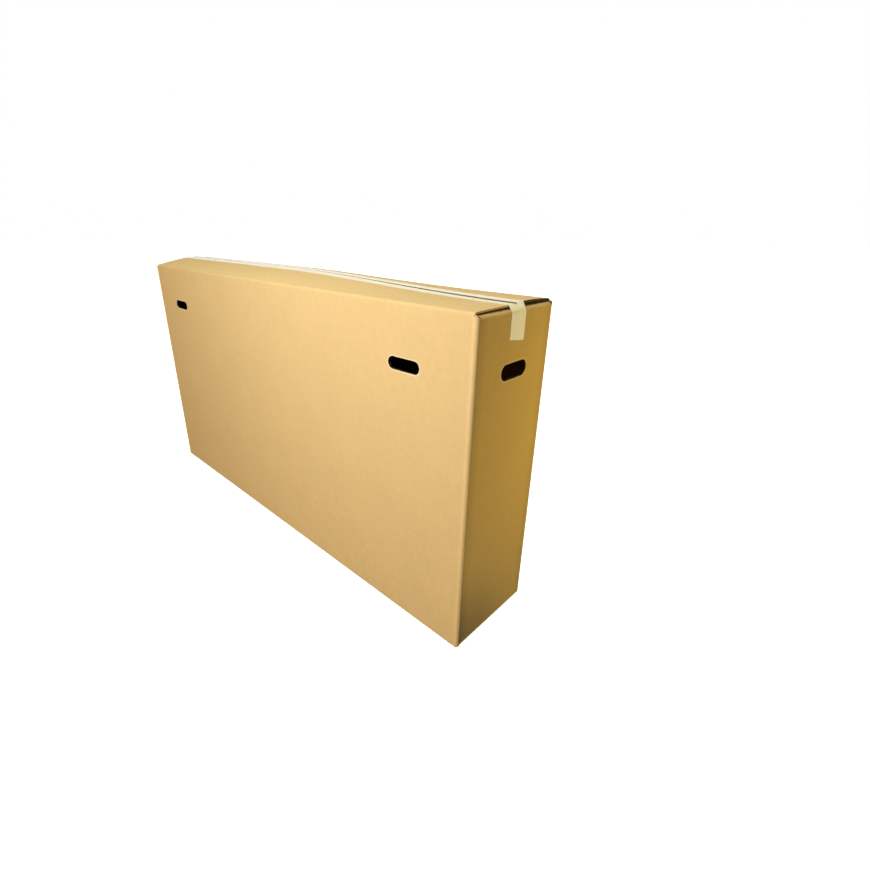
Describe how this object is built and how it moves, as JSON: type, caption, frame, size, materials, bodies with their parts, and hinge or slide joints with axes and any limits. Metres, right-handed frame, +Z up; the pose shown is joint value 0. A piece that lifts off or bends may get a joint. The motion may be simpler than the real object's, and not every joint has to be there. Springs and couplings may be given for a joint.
{
  "type": "corrugated shipping carton",
  "caption": "Long, narrow corrugated shipping carton, closed and taped, with hand holes in its walls.",
  "frame": {"origin": "middle of the underside, on the surface that the carton stands on", "axes": "+X along the length to the end wall that the picture shows, +Y across the width away from the front wall, +Z up"},
  "size_m": [1.4638, 0.263, 0.8004],
  "materials": {
    "board": "natural brown kraft liner, matt",
    "tape": "clear packing tape, glossy, over brown board"
  },
  "bodies": {
    "root": {"carton": "board", "top_tape": "tape", "bottom_tape": "tape"}
  },
  "joints": []
}
